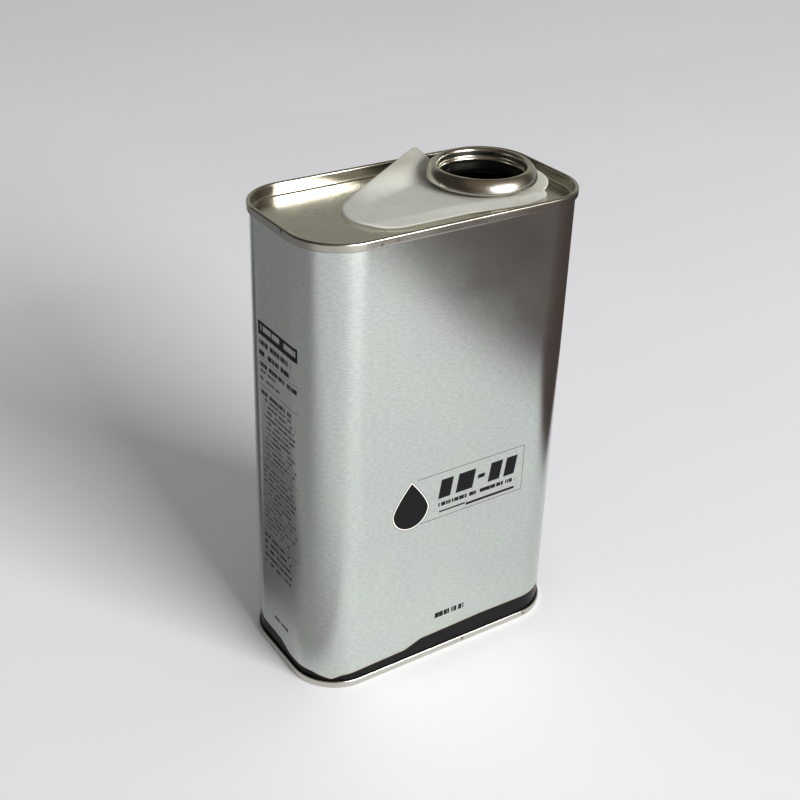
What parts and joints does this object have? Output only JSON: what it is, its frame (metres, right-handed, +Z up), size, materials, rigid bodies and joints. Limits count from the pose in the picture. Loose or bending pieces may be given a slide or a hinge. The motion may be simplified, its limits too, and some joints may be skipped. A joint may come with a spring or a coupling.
{
  "type": "motor oil can",
  "caption": "Oblong tinplate oil can with recessed top, off-centre curled neck and a loose plastic neck tab, for petroliana displays.",
  "frame": {"origin": "centre of the base, on the surface that the can stands on", "axes": "+Z up, +X along the long side towards the neck, +Y towards the back"},
  "size_m": [0.1132, 0.061, 0.1874],
  "materials": {
    "printed_body": "satin silver print with a black band round the foot",
    "bare_tinplate": "bright lacquered tinplate with light wear",
    "seam_compound": "matt sealing lining",
    "tab_plastic": "translucent milky sheet"
  },
  "bodies": {
    "can": {"body_shell": "printed_body", "top_end": "bare_tinplate", "bottom_end": "bare_tinplate", "top_seam_compound": "seam_compound", "bottom_seam_compound": "seam_compound"},
    "tab": {"neck_tab": "tab_plastic"},
    "tab_free_end": {"neck_tab_free_end": "tab_plastic"}
  },
  "joints": [
    {"name": "tab_swivel", "type": "hinge", "parent": "can", "child": "tab", "pos_m": [0.0275, 0, 0.1783], "axis": [0, 0, 1], "range_deg": [-18, 10]},
    {"name": "tab_lift", "type": "hinge", "parent": "tab", "child": "tab_free_end", "pos_m": [-0.006, -0.00228, 0.17951], "axis": [0, 0.9921, 0.1257], "range_deg": [0, 60], "stiffness_Nm_per_rad": 0.01}
  ]
}
